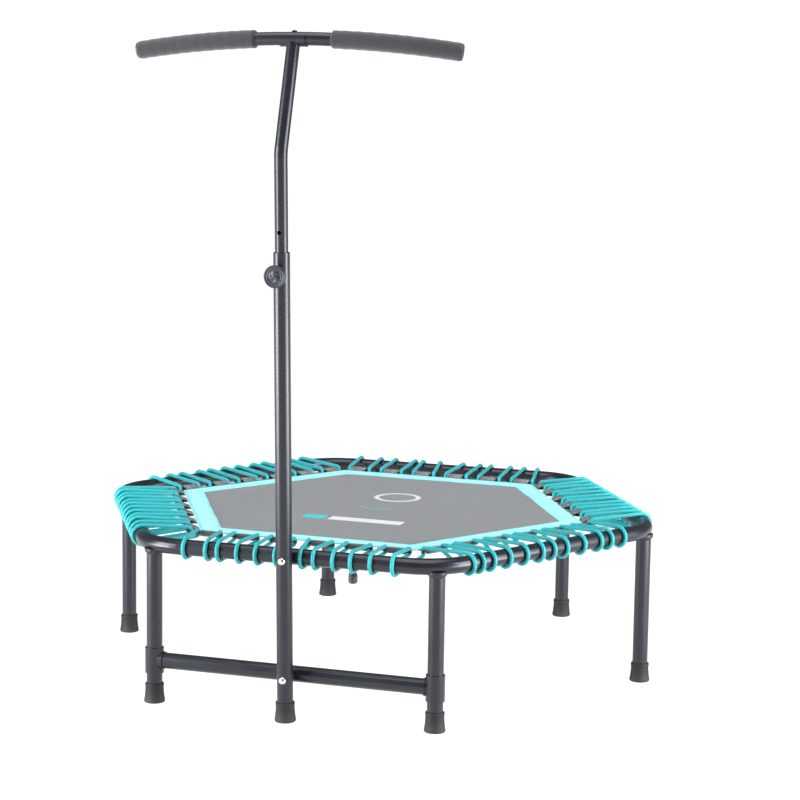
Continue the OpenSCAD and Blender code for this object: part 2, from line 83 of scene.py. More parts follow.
# The band's three seams, as shares of its width from its inner edge
BAND_SEAMS = (0.10, 0.24, 0.90)
WEAVE_PITCH = 1.5 * MM

CORD_R = 4 * MM
CORD_CLEAR = 0.2 * MM
RAIL_TURN_R = TUBE_R + CORD_R + CORD_CLEAR
ROD_TURN_R = ROD_R + CORD_R + CORD_CLEAR
ROD_HOOK = TAB_W / 2 + CORD_R + 2 * MM
# Where the cord's turns sit along each rail, in millimetres, in the order of SIDES
RAIL_PLACES = (
    (-218, -171, -146, -105, -66, -25, 27, 54, 94, 130, 170, 215),
    (-230, -205, -175, -131, -85, -41, -8, 29, 79, 128, 159, 198),
    (-228, -190, -152, -120, -80, -36, 4, 44, 90, 126, 170, 206),
    (-224, -192, -158, -110, -83, -41, 17, 60, 80, 129, 167, 218),
    (-226, -186, -160, -108, -76, -30, 10, 52, 84, 134, 168, 214),
    (-222, -194, -150, -116, -70, -34, 6, 48, 92, 124, 172, 210),
)
ROD_PLACES = [
    (i - (TAB_COUNT - 1) / 2) * TAB_PITCH + hand * ROD_HOOK
    for i in range(TAB_COUNT)
    for hand in (-1, 1)
]
CAP_TURN = 9
CORD_SEGMENTS = 14

POST_LEAN = math.radians(2.4)
POST_FOOT_Y = (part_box("boot_post")[0].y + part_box("boot_post")[1].y) / 2
POST = Matrix.Translation((0, POST_FOOT_Y, 0)) @ Matrix.Rotation(POST_LEAN, 4, "X")
KNOB_AT = 878 * MM
MAST_BEND_AT = 1107 * MM
MAST_BEND = math.radians(19.4)
MAST_UPPER_L = 221.8 * MM
BAR_L = 646 * MM
BAR_DROP = 23 * MM
BAR_SWEEP = 17 * MM
BAR_BARE = 153 * MM
GRIP_R = 17.25 * MM

# ---------------------------------------------------------------- camera, at the photograph's viewing angle
CAMERA_PLACE = Vector((1.46226, -4.36979, 1.20060)) + Vector((CENTRE.x, CENTRE.y, 0))
CAMERA_YAW = 0.31265
CAMERA_PITCH = 0.13697
CAMERA_ROLL = 0.01481
CAMERA_LENS = 96.9


def make_camera():
    back = Vector(
        (
            math.sin(CAMERA_YAW) * math.cos(CAMERA_PITCH),
            -math.cos(CAMERA_YAW) * math.cos(CAMERA_PITCH),
            math.sin(CAMERA_PITCH),
        )
    )
    right = (-back).cross(Vector((0, 0, 1))).normalized()
    up = right.cross(-back)
    across = math.cos(CAMERA_ROLL) * right + math.sin(CAMERA_ROLL) * up
    rise = -math.sin(CAMERA_ROLL) * right + math.cos(CAMERA_ROLL) * up
    data = bpy.data.cameras.new("camera")
    data.lens = CAMERA_LENS
    data.sensor_width = 36
    data.clip_end = 60
    camera = bpy.data.objects.new("camera", data)
    turn = Matrix((across, rise, back)).transposed().to_4x4()
    camera.matrix_world = Matrix.Translation(CAMERA_PLACE) @ turn
    bpy.context.scene.collection.objects.link(camera)
    bpy.context.scene.camera = camera


make_camera()


# ---------------------------------------------------------------- meshes
def mesh_object(name, points, faces, uvs=None, smooth=True):
    mesh = bpy.data.meshes.new(name)
    mesh.from_pydata([tuple(p) for p in points], [], [tuple(f) for f in faces])
    if uvs is not None:
        layer = mesh.uv_layers.new(name="run")
        layer.data.foreach_set("uv", np.asarray(uvs, np.float32).ravel())
    mesh.validate()
    mesh.update()
    if smooth:
        mesh.polygons.foreach_set("use_smooth", [True] * len(mesh.polygons))
    obj = bpy.data.objects.new(name, mesh)
    bpy.context.scene.collection.objects.link(obj)
    return obj


def sharpen(obj, degrees):
    """Edges sharper than an angle stay crisp under smooth shading."""
    mesh = obj.data
    limit = math.radians(degrees)
    bm = bmesh.new()
    bm.from_mesh(mesh)
    for edge in bm.edges:
        if len(edge.link_faces) == 2 and edge.calc_face_angle(0) > limit:
            edge.smooth = False
    bm.to_mesh(mesh)
    bm.free()


def on_side(k, points, turn=0.0):
    """Points given as (out from the middle, along the rail, height) of a side, in the row frame."""
    p = np.asarray(points, float).reshape(-1, 3)
    angle = STEP_ANGLE * k - math.pi / 2 + turn
    c, s = math.cos(angle), math.sin(angle)
    x = p[:, 0] * c - p[:, 1] * s + CENTRE.x
    y = p[:, 0] * s + p[:, 1] * c + CENTRE.y
    return np.column_stack([x, y, p[:, 2]])


def side_coordinates(k, points, turn=0.0):
    """The reverse of on_side."""
    p = np.asarray(points, float).reshape(-1, 3)
    angle = STEP_ANGLE * k - math.pi / 2 + turn
    c, s = math.cos(angle), math.sin(angle)
    x, y = p[:, 0] - CENTRE.x, p[:, 1] - CENTRE.y
    return np.column_stack([x * c + y * s, -x * s + y * c, p[:, 2]])


def run_frames(path):
    """Two directions across a path at each of its points, turning as little as they can."""
    runs = np.gradient(path, axis=0)
    runs /= np.linalg.norm(runs, axis=1)[:, None]
    start = np.cross(runs[0], (0, 0, 1.0))
    if np.linalg.norm(start) < 0.1:
        start = np.cross(runs[0], (1.0, 0, 0))
    across = np.zeros_like(path)
    side = start / np.linalg.norm(start)
    for i, run in enumerate(runs):
        side = side - run * (side @ run)
        side /= np.linalg.norm(side)
        across[i] = side
    return across, np.cross(runs, across)


def swept_tube(name, path, radii, segments=12):
    """A closed tube along a path. Its UV map holds the share of the way round, and the run in metres."""
    path = np.asarray(path, float)
    radii = np.broadcast_to(radii, (len(path),))
    across, rise = run_frames(path)
    angles = np.linspace(0, 2 * math.pi, segments, endpoint=False)
    rings = (
        path[:, None, :]
        + radii[:, None, None] * np.cos(angles)[None, :, None] * across[:, None, :]
        + radii[:, None, None] * np.sin(angles)[None, :, None] * rise[:, None, :]
    )
    run = np.concatenate([[0], np.cumsum(np.linalg.norm(np.diff(path, axis=0), axis=1))])
    points = np.concatenate([rings.reshape(-1, 3), path[[0, -1]]])
    faces, uvs = [], []
    for i in range(len(path) - 1):
        for j in range(segments):
            n = (j + 1) % segments
            a, b = i * segments, (i + 1) * segments
            faces.append((a + j, a + n, b + n, b + j))
            u, v = j / segments, (j + 1) / segments
            uvs += [(u, run[i]), (v, run[i]), (v, run[i + 1]), (u, run[i + 1])]
    first, last = len(points) - 2, len(points) - 1
    end = (len(path) - 1) * segments
    for j in range(segments):
        n = (j + 1) % segments
        faces.append((first, n, j))
        faces.append((last, end + j, end + n))
        uvs += [(j / segments, 0)] * 3 + [(j / segments, run[-1])] * 3
    return mesh_object(name, points, faces, uvs)


def lathe(name, profile, segments, place, shape=None):
    """A turned piece: profile is (radius, height) pairs, shape may change each point's radius and height."""
    profile = np.asarray(profile, float)
    points, faces = [], []
    angles = [2 * math.pi * j / segments for j in range(segments)]
    for r, z in profile:
        for a in angles:
            rr, zz = shape(r, z, a) if shape else (r, z)
            points.append(place @ Vector((rr * math.cos(a), rr * math.sin(a), zz)))
    for i in range(len(profile) - 1):
        for j in range(segments):
            n = (j + 1) % segments
            a, b = i * segments, (i + 1) * segments
            faces.append((a + j, a + n, b + n, b + j))
    return mesh_object(name, points, faces)


def rounded(points, radius, steps=4):
    """A profile with its inner corners rounded, as moulded edges are."""
    points = [Vector(p).to_2d() for p in points]
    out = [points[0]]
    for a, b, c in zip(points, points[1:], points[2:]):
        cut = min(radius, (b - a).length * 0.45, (c - b).length * 0.45)
        start, stop = b + (a - b).normalized() * cut, b + (c - b).normalized() * cut
        for i in range(steps + 1):
            t = i / steps
            out.append((1 - t) ** 2 * start + 2 * t * (1 - t) * b + t * t * stop)
    out.append(points[-1])
    return [(p.x, p.y) for p in out]


# ---------------------------------------------------------------- elastic cord
CORD_STEP = 2.6 * MM
CORD_SMOOTH = 2.0


def turn_arc(out, z, radius, start, stop, along):
    count = max(3, math.ceil(abs(stop - start) * radius / CORD_STEP))
    a = np.linspace(start, stop, count + 1)
    return np.column_stack(
        [out + radius * np.cos(a), np.full(len(a), along), z + radius * np.sin(a)]
    )


def cord_loop():
    """The whole lacing as one closed line, and the places in it where each side's cord begins."""
    dx, dz = ROD_OUT - RAIL_APOTHEM, ROD_Z - RING_Z
    direction = math.atan2(dz, dx)
    opening = math.acos((RAIL_TURN_R - ROD_TURN_R) / math.hypot(dx, dz))
    top, low = direction - opening, direction + opening
    chunks, starts, count = [], [], 0
    for k in range(6):
        starts.append(count)
        for rod_s, rail_s in zip(ROD_PLACES, RAIL_PLACES[k]):
            rod = turn_arc(ROD_OUT, ROD_Z, ROD_TURN_R, low, top, rod_s)
            rail = turn_arc(
                RAIL_APOTHEM, RING_Z, RAIL_TURN_R, top, low - 2 * math.pi, rail_s * MM
            )
            chunks += [on_side(k, rod, MAT_TWIST), on_side(k, rail)]
            count += len(rod) + len(rail)
    corners = np.concatenate(chunks)
    closed = np.concatenate([corners, corners[:1]])
    run = np.concatenate([[0], np.cumsum(np.linalg.norm(np.diff(closed, axis=0), axis=1))])
    total = math.ceil(run[-1] / CORD_STEP)
    at = np.linspace(0, run[-1], total, endpoint=False)
    line = np.column_stack([np.interp(at, run, closed[:, i]) for i in range(3)])
    weights = np.exp(-0.5 * (np.arange(-6, 7) / CORD_SMOOTH) ** 2)
    weights /= weights.sum()
    line = sum(w * np.roll(line, shift, axis=0) for w, shift in zip(weights, range(-6, 7)))
    for k in range(6):
        line = pushed_off(k, line)
    begin = [int(round(run[s] / run[-1] * total)) for s in starts]
    return line, begin


def pushed_off(k, line):
    """The line, kept outside the rail and the rods of one side."""
    p = side_coordinates(k, line)
    gap = np.hypot(p[:, 0] - RAIL_APOTHEM, p[:, 2] - RING_Z)
    inside = (abs(p[:, 1]) < RAIL_HALF + 10 * MM) & (gap < RAIL_TURN_R) & (gap > 1 * MM)
    grow = np.where(inside, RAIL_TURN_R / np.maximum(gap, 1e-6), 1.0)
    p[:, 0] = RAIL_APOTHEM + (p[:, 0] - RAIL_APOTHEM) * grow
    p[:, 2] = RING_Z + (p[:, 2] - RING_Z) * grow
    p = side_coordinates(k, on_side(k, p), MAT_TWIST)
    gap = np.hypot(p[:, 0] - ROD_OUT, p[:, 2] - ROD_Z)
    spot = (p[:, 1] / TAB_PITCH + (TAB_COUNT - 1) / 2 + 0.5) % 1 - 0.5
    inside = (abs(p[:, 1]) < TAB_COUNT * TAB_PITCH / 2) & (gap < ROD_TURN_R) & (gap > 1 * MM)
    inside &= abs(spot) * TAB_PITCH < ROD_HALF
    grow = np.where(inside, ROD_TURN_R / np.maximum(gap, 1e-6), 1.0)
    p[:, 0] = ROD_OUT + (p[:, 0] - ROD_OUT) * grow
    p[:, 2] = ROD_Z + (p[:, 2] - ROD_Z) * grow
    return on_side(k, p, MAT_TWIST)


def make_cords():
    line, begin = cord_loop()
    reach = (ROD_OUT + ROD_TURN_R) * math.cos(MAT_TWIST)
    reach -= TAB_COUNT / 2 * TAB_PITCH * math.sin(MAT_TWIST)
    made = {}
    for k, side in enumerate(SIDES):
        stop = begin[k + 1] if k < 5 else begin[0] + len(line)
        path = np.take(line, range(begin[k], stop + 1), axis=0, mode="wrap")
        cord = swept_tube(f"elastic_cord_{side}", path, CORD_R, CORD_SEGMENTS)
        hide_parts(f"cord_{side}")
        made[side] = (cord, path)
    tail_turn = RAIL_PLACES[0][CAP_TURN] * MM
    cap_low, cap_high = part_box("cord_end_cap")
    cap = (cap_low + cap_high) / 2
    start = (RAIL_APOTHEM - 6 * MM, tail_turn - 1 * MM, RING_Z - RAIL_TURN_R + 1 * MM)
    under = on_side(0, [start])[0]
    t = np.linspace(0, 1, 10)[:, None]
    bend = np.array((cap.x, cap.y, cap_high.z + 6 * MM))
    end = np.array((cap.x, cap.y, cap_high.z - 8 * MM))
    tail_path = (1 - t) ** 2 * under + 2 * t * (1 - t) * bend + t * t * end
    tail = swept_tube("elastic_cord_tail", tail_path, CORD_R, CORD_SEGMENTS)
    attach(tail, "frame")
    for k, side in enumerate(SIDES):
        cord, path = made[side]
        start, end = on_side(
            k, [(RAIL_APOTHEM - TUBE_R, 0, RING_Z), (reach, 0, RING_Z)]
        )
        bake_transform(cord)
    return [cord for cord, _ in made.values()] + [tail]


cords = make_cords()


# ---------------------------------------------------------------- materials
def new_material(name, **sockets):
    material = bpy.data.materials.new(name)
    material.use_nodes = True
    shader = material.node_tree.nodes["Principled BSDF"]
    for key, value in sockets.items():
        shader.inputs[key.replace("_", " ")].default_value = value
    return material, shader


def add(material, kind, inputs=None, **settings):
    node = material.node_tree.nodes.new("ShaderNode" + kind)
    for key, value in settings.items():
        setattr(node, key, value)
    for key, value in (inputs or {}).items():
        socket = node.inputs[key]
        if isinstance(value, bpy.types.NodeSocket):
            material.node_tree.links.new(value, socket)
        else:
            socket.default_value = value
    return node


def math_of(material, operation, a, b=0.0):
    return add(material, "Math", {0: a, 1: b}, operation=operation).outputs[0]


def noise(material, at, scale, detail=3.0, roughness=0.5):
    return add(
        material,
        "TexNoise",
        {"Vector": at, "Scale": scale, "Detail": detail, "Roughness": roughness},
    ).outputs[0]


def ranged(material, value, low, high, to_low=0.0, to_high=1.0):
    return add(
        material,
        "MapRange",
        {"Value": value, "From Min": low, "From Max": high, "To Min": to_low, "To Max": to_high},
    ).outputs[0]


def mixed(material, share, a, b):
    node = add(material, "Mix", data_type="RGBA")
    for socket, value in ((node.inputs[0], share), (node.inputs[6], a), (node.inputs[7], b)):
        if isinstance(value, bpy.types.NodeSocket):
            material.node_tree.links.new(value, socket)
        elif isinstance(value, (float, int)):
            socket.default_value = value
        else:
            socket.default_value = (*value, 1)
    return node.outputs[2]


def object_place(material, turn=0.0, scale=(1, 1, 1)):
    at = add(material, "TexCoord").outputs["Object"]
    if turn or scale != (1, 1, 1):
        at = add(
            material,
            "Mapping",
            {"Vector": at, "Rotation": (0, 0, turn), "Scale": scale},
        ).outputs[0]
    return at


def finish_material(material, shader, colour, roughness, height, strength, depth):
    links = material.node_tree.links
    links.new(colour, shader.inputs["Base Color"])
    links.new(roughness, shader.inputs["Roughness"])
    bump = add(material, "Bump", {"Height": height, "Strength": strength, "Distance": depth})
    links.new(bump.outputs[0], shader.inputs["Normal"])
    return material


def powder_coat():
    """Satin black powder coat: orange peel, faint mottling and fine rubbed marks."""
    m, shader = new_material(
        "powder_coat", IOR=1.45, Metallic=0.25, Coat_Weight=0.25, Coat_Roughness=0.2
    )
    at = object_place(m)
    peel = noise(m, at, 900, 2)
    mottle = noise(m, at, 14, 4)
    rubbed = ranged(m, noise(m, at, 85, 9, 0.72), 0.61, 0.72)
    colour = mixed(m, mottle, (0.012, 0.013, 0.019), (0.019, 0.020, 0.027))
    colour = mixed(m, math_of(m, "MULTIPLY", rubbed, 0.22), colour, (0.11, 0.115, 0.13))
    rough = ranged(m, mottle, 0.3, 0.7, 0.26, 0.33)
    rough = math_of(m, "ADD", rough, math_of(m, "MULTIPLY", rubbed, 0.10))
    return finish_material(m, shader, colour, rough, peel, 0.12, 0.0002)


def zinc():
    """Bright zinc plating with fine turned marks and dull spots."""
    m, shader = new_material("zinc_plate", Metallic=1.0)
    at = object_place(m)
    dull = noise(m, at, 260, 5)
    marks = noise(m, object_place(m, scale=(1, 1, 9)), 1500, 2)
    colour = mixed(m, dull, (0.62, 0.63, 0.64), (0.86, 0.86, 0.85))
    rough = ranged(m, dull, 0.3, 0.7, 0.18, 0.34)
    return finish_material(m, shader, colour, rough, marks, 0.2, 0.0001)


def rubber():
    """Matte black rubber with a mould grain and a trace of floor dust low down."""
    m, shader = new_material("boot_rubber", IOR=1.45)
    at = object_place(m)
    grain = noise(m, at, 1300, 3)
    height = add(m, "SeparateXYZ", {0: at}).outputs[2]
    low_down = ranged(m, height, 0.0, 0.022, 1, 0)
    dust = math_of(m, "MULTIPLY", low_down, noise(m, at, 160, 6, 0.65))
    colour = mixed(m, noise(m, at, 40, 4), (0.009, 0.009, 0.0095), (0.015, 0.015, 0.016))
    colour = mixed(m, math_of(m, "MULTIPLY", dust, 0.30), colour, (0.16, 0.155, 0.145))
    rough = ranged(m, grain, 0.3, 0.7, 0.58, 0.78)
    return finish_material(m, shader, colour, rough, grain, 0.25, 0.0003)


def moulded_plastic():
    """Black moulded plastic with a fine spark-eroded texture."""
    m, shader = new_material("moulded_plastic", IOR=1.48, Coat_Weight=0.15, Coat_Roughness=0.25)
    at = object_place(m)
    grain = noise(m, at, 2200, 2)
    mottle = noise(m, at, 60, 4)
    colour = mixed(m, mottle, (0.020, 0.022, 0.030), (0.034, 0.037, 0.050))
    rough = ranged(m, mottle, 0.3, 0.7, 0.30, 0.44)
    return finish_material(m, shader, colour, rough, grain, 0.18, 0.00015)


def foam():
    """Closed-cell foam: small open pores over a soft, dull skin."""
    m, shader = new_material("grip_foam", IOR=1.4, Sheen_Weight=0.35, Sheen_Roughness=0.5)
    at = object_place(m)
    cells = add(m, "TexVoronoi", {"Vector": at, "Scale": 620.0}).outputs["Distance"]
    pores = ranged(m, cells, 0.05, 0.45, 0.0, 1.0)
    worn = noise(m, at, 30, 5)
    colour = mixed(m, pores, (0.008, 0.0085, 0.009), (0.026, 0.028, 0.030))
    colour = mixed(m, math_of(m, "MULTIPLY", worn, 0.4), colour, (0.040, 0.042, 0.046))
    rough = ranged(m, worn, 0.3, 0.7, 0.78, 0.92)
    height = math_of(m, "ADD", pores, math_of(m, "MULTIPLY", worn, 1.5))
    return finish_material(m, shader, colour, rough, height, 0.45, 0.0006)


def weave_height(m, at, pitch):
    """A plain weave's chequer of warp and weft, signed, and the height of its pillows."""
    parts = add(m, "SeparateXYZ", {0: at})
    x = math_of(m, "MULTIPLY", parts.outputs[0], math.pi / pitch)
    y = math_of(m, "MULTIPLY", parts.outputs[1], math.pi / pitch)
    both = math_of(m, "MULTIPLY", math_of(m, "SINE", x), math_of(m, "SINE", y))
    return both, math_of(m, "ABSOLUTE", both)


def mat_fabric():
    """Close woven polypropylene: plain weave, yarn streaks both ways and faint broad mottling."""
    m, shader = new_material("mat_fabric", IOR=1.45, Sheen_Weight=0.25, Sheen_Roughness=0.4)
    at = object_place(m, -MAT_TWIST)
    both, height = weave_height(m, at, WEAVE_PITCH)
    warp = noise(m, object_place(m, -MAT_TWIST, (900, 7, 1)), 1.0, 2)
    weft = noise(m, object_place(m, -MAT_TWIST, (7, 900, 1)), 1.0, 2)
    streaks = math_of(m, "ADD", warp, weft)
    speckle = noise(m, at, 420, 3, 0.6)
    broad = noise(m, at, 5.0, 4)
    colour = mixed(m, ranged(m, height, 0, 0.8), (0.055, 0.058, 0.058), (0.135, 0.141, 0.142))
    colour = mixed(m, ranged(m, streaks, 0.75, 1.3, 0, 0.55), colour, (0.20, 0.207, 0.207))
    colour = mixed(m, ranged(m, speckle, 0.35, 0.75, 0, 0.35), colour, (0.26, 0.268, 0.268))
    colour = mixed(m, math_of(m, "MULTIPLY", broad, 0.25), colour, (0.19, 0.195, 0.19))
    rough = ranged(m, both, -1, 1, 0.46, 0.60)
    return finish_material(m, shader, colour, rough, height, 0.55, 0.0004)


def border_fabric():
    """Woven polyester band: a fine plain weave, slightly mottled dye and paler threads."""
    m, shader = new_material("border_fabric", IOR=1.45, Sheen_Weight=0.3, Sheen_Roughness=0.35)
    at = object_place(m, -MAT_TWIST)
    height = weave_height(m, at, 0.9 * MM)[1]
    mottle = noise(m, at, 24, 5)
    threads = noise(m, at, 700, 3)
    colour = mixed(m, ranged(m, height, 0, 0.7), (0.16, 0.62, 0.60), (0.33, 0.92, 0.89))
    colour = mixed(m, ranged(m, mottle, 0.35, 0.7, 0, 0.35), colour, (0.46, 0.97, 0.95))
    colour = mixed(m, ranged(m, threads, 0.5, 0.8, 0, 0.35), colour, (0.62, 1.0, 0.98))
    rough = ranged(m, mottle, 0.3, 0.7, 0.55, 0.70)
    return finish_material(m, shader, colour, rough, height, 0.5, 0.0003)


def webbing():
    """Black polypropylene webbing: cross ribs, a herringbone split and light flecks of painted sheen on the
    yarns.
    """
    m, shader = new_material("webbing", IOR=1.5, Sheen_Weight=0.5, Sheen_Roughness=0.3)
    place = add(m, "UVMap", uv_map="run").outputs[0]
    parts = add(m, "SeparateXYZ", {0: place})
    across = math_of(m, "ABSOLUTE", math_of(m, "SUBTRACT", parts.outputs[0], 0.5))
    lean = math_of(m, "MULTIPLY", across, 60)
    rib = math_of(m, "MULTIPLY", parts.outputs[1], 2 * math.pi / (1.5 * MM))
    wave = math_of(m, "SINE", math_of(m, "ADD", rib, lean))
    yarn = math_of(m, "SINE", math_of(m, "MULTIPLY", parts.outputs[0], 2 * math.pi * 26))
    height = math_of(m, "ADD", wave, math_of(m, "MULTIPLY", yarn, 0.5))
    at = object_place(m)
    highlight_flecks = noise(m, at, 900, 3)
    colour = mixed(m, ranged(m, height, -1.3, 1.3), (0.022, 0.023, 0.024), (0.115, 0.118, 0.120))
    # Light flecks mixed into the colour: painted sheen on the yarns.
    colour = mixed(m, ranged(m, highlight_flecks, 0.45, 0.8, 0, 0.4), colour, (0.26, 0.265, 0.265))
    rough = ranged(m, highlight_flecks, 0.3, 0.7, 0.34, 0.50)
    return finish_material(m, shader, colour, rough, height, 0.6, 0.0004)


def braided_cord():
    """Elastic cord in a braided sleeve: crossing strands, with light flecks of painted highlight."""
    m, shader = new_material("braided_cord", IOR=1.5, Sheen_Weight=0.25, Sheen_Roughness=0.3)
    place = add(m, "UVMap", uv_map="run").outputs[0]
    parts = add(m, "SeparateXYZ", {0: place})
    around = math_of(m, "MULTIPLY", parts.outputs[0], 2 * math.pi * 6)
    along = math_of(m, "MULTIPLY", parts.outputs[1], 2 * math.pi / (8.5 * MM) * 1.5)
    one = math_of(m, "SINE", math_of(m, "ADD", around, along))
    two = math_of(m, "SINE", math_of(m, "SUBTRACT", around, along))
    height = math_of(m, "MULTIPLY", one, two)
    at = object_place(m)
    highlight_flecks = noise(m, at, 1100, 3)
    broad = noise(m, at, 35, 3)
    colour = mixed(m, ranged(m, height, -0.7, 0.8), (0.002, 0.21, 0.225), (0.010, 0.56, 0.585))
    # Near-white flecks mixed into the colour: painted highlights on the strands.
    colour = mixed(m, ranged(m, highlight_flecks, 0.5, 0.8, 0, 0.45), colour, (0.12, 0.80, 0.80))
    colour = mixed(m, ranged(m, broad, 0.45, 0.7, 0, 0.2), colour, (0.004, 0.34, 0.36))
    rough = ranged(m, highlight_flecks, 0.3, 0.7, 0.36, 0.50)
    return finish_material(m, shader, colour, rough, height, 0.55, 0.0005)


def thread(name, light, dark):
    """Twisted sewing thread."""
    m, shader = new_material(name, IOR=1.45, Sheen_Weight=0.2)
    at = object_place(m)
    twist = noise(m, at, 2500, 2)
    colour = mixed(m, twist, dark, light)
    rough = ranged(m, twist, 0.3, 0.7, 0.5, 0.65)
    return finish_material(m, shader, colour, rough, twist, 0.3, 0.0002)


def print_ink(name, colour_a, colour_b):
    """Screen-printed ink that lets a little of the weave through."""
    m, shader = new_material(name, IOR=1.45)
    at = object_place(m, -MAT_TWIST)
    height = weave_height(m, at, WEAVE_PITCH)[1]
    worn = ranged(m, noise(m, at, 300, 5, 0.6), 0.3, 0.75)
    colour = mixed(m, worn, colour_a, colour_b)
    rough = ranged(m, worn, 0, 1, 0.45, 0.6)
    return finish_material(m, shader, colour, rough, height, 0.35, 0.0003)


def floor_paint():
    """Plain white studio floor, a little uneven."""
    m, shader = new_material("studio_floor", Specular_IOR_Level=0.1, Emission_Strength=1.0)
    at = object_place(m)
    colour = mixed(m, noise(m, at, 3, 3), (0.20, 0.20, 0.202), (0.21, 0.21, 0.21))
    m.node_tree.links.new(colour, shader.inputs["Base Color"])
    shader.inputs["Emission Color"].default_value = (1, 1, 1, 1)
    shader.inputs["Roughness"].default_value = 0.9
    return m


steel = powder_coat()
plated = zinc()
boot_rubber = rubber()
plastic = moulded_plastic()
grip_foam = foam()
fabric = mat_fabric()
band = border_fabric()
tab_webbing = webbing()
cord_sleeve = braided_cord()
band_thread = thread("band_thread", (0.10, 0.60, 0.60), (0.03, 0.36, 0.37))
tab_thread = thread("tab_thread", (0.16, 0.165, 0.17), (0.05, 0.052, 0.055))
white_ink = print_ink("white_ink", (0.62, 0.63, 0.63), (0.86, 0.87, 0.87))
teal_ink = print_ink("teal_ink", (0.03, 0.50, 0.50), (0.06, 0.66, 0.66))


def dress(obj, material):
    obj.data.materials.clear()
    obj.data.materials.append(material)
    return obj


for piece in cords:
    dress(piece, cord_sleeve)

# ---------------------------------------------------------------- CAD nodes that stay
STEEL_NODES = (
    ["ring_tube", "leg_sockets", "crossbar", "crossbar_sleeve_left", "crossbar_sleeve_right"]
    + [f"leg_{c}" for c in ("front_left", "front_right", "right", "back_right", "back_left", "left")]
    + ["post_tube", "knob_boss", "mast_tube", "bar_saddle", "handlebar", "bar_bolt"]
)
ZINC_NODES = ["post_bolts", "post_nuts", "lock_washer", "knob_stud", "bar_nut"]
PLASTIC_NODES = ["post_spacer", "post_bush", "mast_plug", "bar_end_plugs", "cord_end_cap"] + [
    f"rods_{side}" for side in SIDES
]
for names, material, slot in (
    (STEEL_NODES, steel, "frame_steel"),
    (ZINC_NODES, plated, "zinc"),
    (PLASTIC_NODES, plastic, "black_plastic"),
):
    for name in names:
        dress(nodes[name], material)

# ---------------------------------------------------------------- boots
BOOT_PROFILE = rounded(
    [
        (0, 0),
        (18.6 * MM, 0),
        (21.0 * MM, 1.2 * MM),
        (21.2 * MM, 5 * MM),
        (20.4 * MM, 8 * MM),
        (20.4 * MM, 9.2 * MM),
        (19.9 * MM, 12 * MM),
        (18.7 * MM, 24 * MM),
        (18.3 * MM, 32 * MM),
        (19.0 * MM, 33 * MM),
        (19.0 * MM, 38 * MM),
        (18.0 * MM, 40 * MM),
        (16.3 * MM, 40 * MM),
        (16.02 * MM, 38.5 * MM),
        (16.02 * MM, 30 * MM),
    ],
    1.4 * MM,
)


def make_boots():
    for corner in ("front_left", "front_right", "right", "back_right", "back_left", "left", "post"):
        low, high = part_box(f"boot_{corner}")
        middle = (low + high) / 2
        if corner == "post":
            place = POST
        else:
            place = Matrix.Translation((middle.x, middle.y, 0))
        boot = lathe(f"rubber_boot_{corner}", BOOT_PROFILE, 48, place)
        if corner == "post":
            for v in boot.data.vertices:
                v.co.z = max(v.co.z, 0.0)
        sharpen(boot, 50)
        dress(boot, boot_rubber)
        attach(boot, "frame")
        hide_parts(f"boot_{corner}")


make_boots()


# ---------------------------------------------------------------- lock knob
def facing_out(at):
    return POST @ Matrix.Translation((0, 0, at)) @ Matrix.Rotation(math.pi / 2, 4, "X")


KNOB_PROFILE = rounded(
    [
        (5.02 * MM, 24.7 * MM),
        (10.6 * MM, 24.7 * MM),
        (9.4 * MM, 28.6 * MM),
        (11.6 * MM, 31.0 * MM),
        (19.6 * MM, 31.6 * MM),
        (21.9 * MM, 33.4 * MM),
        (22.0 * MM, 38.4 * MM),
        (20.8 * MM, 40.6 * MM),
        (18.6 * MM, 40.9 * MM),
        (17.6 * MM, 39.5 * MM),
        (15.6 * MM, 39.3 * MM),
        (14.8 * MM, 40.1 * MM),
        (13.6 * MM, 40.1 * MM),
        (12.6 * MM, 38.5 * MM),
        (9.0 * MM, 40.4 * MM),
        (4.6 * MM, 41.6 * MM),
        (0.01 * MM, 42.0 * MM),
    ],
    1.1 * MM,
)


def knob_shape(r, z, angle):
    """Fine grip ribs round the rim, and a three-lobed swirl on the crown."""
    grip = 0.0
    if r > 21 * MM and 33 * MM < z < 39.5 * MM:
        grip = 0.35 * MM * (0.5 + 0.5 * math.cos(36 * angle))
    swirl = 0.0
    if z > 36 * MM and r < 13 * MM:
        fade = math.sin(math.pi * r / (13 * MM))
        swirl = 1.0 * MM * fade * math.cos(3 * angle + r / (3.4 * MM))
    return r - grip, z + min(swirl, 42.0 * MM - z)


knob = lathe("lock_knob", KNOB_PROFILE, 144, facing_out(KNOB_AT), knob_shape)
sharpen(knob, 45)
dress(knob, plastic)
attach(knob, "lock_knob")
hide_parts("knob_head")

# ---------------------------------------------------------------- foam grips
sagitta = math.hypot(BAR_DROP, BAR_SWEEP)
BAR_ARC_R = (BAR_L**2 / 4 + sagitta**2) / (2 * sagitta)
BAR_TILT = math.pi - math.atan2(BAR_DROP, BAR_SWEEP)
BAR = (
    POST
    @ Matrix.Translation(
        (0, MAST_UPPER_L * math.sin(MAST_BEND), MAST_BEND_AT + MAST_UPPER_L * math.cos(MAST_BEND))
    )
    @ Matrix.Rotation(BAR_TILT - POST_LEAN, 4, "X")
)


def along_bar(offset):
    """A point of the handlebar's centre line, at a distance to the right of its middle."""
    angle = offset / BAR_ARC_R
    return BAR @ Vector((BAR_ARC_R * math.sin(angle), BAR_ARC_R * (math.cos(angle) - 1), 0))


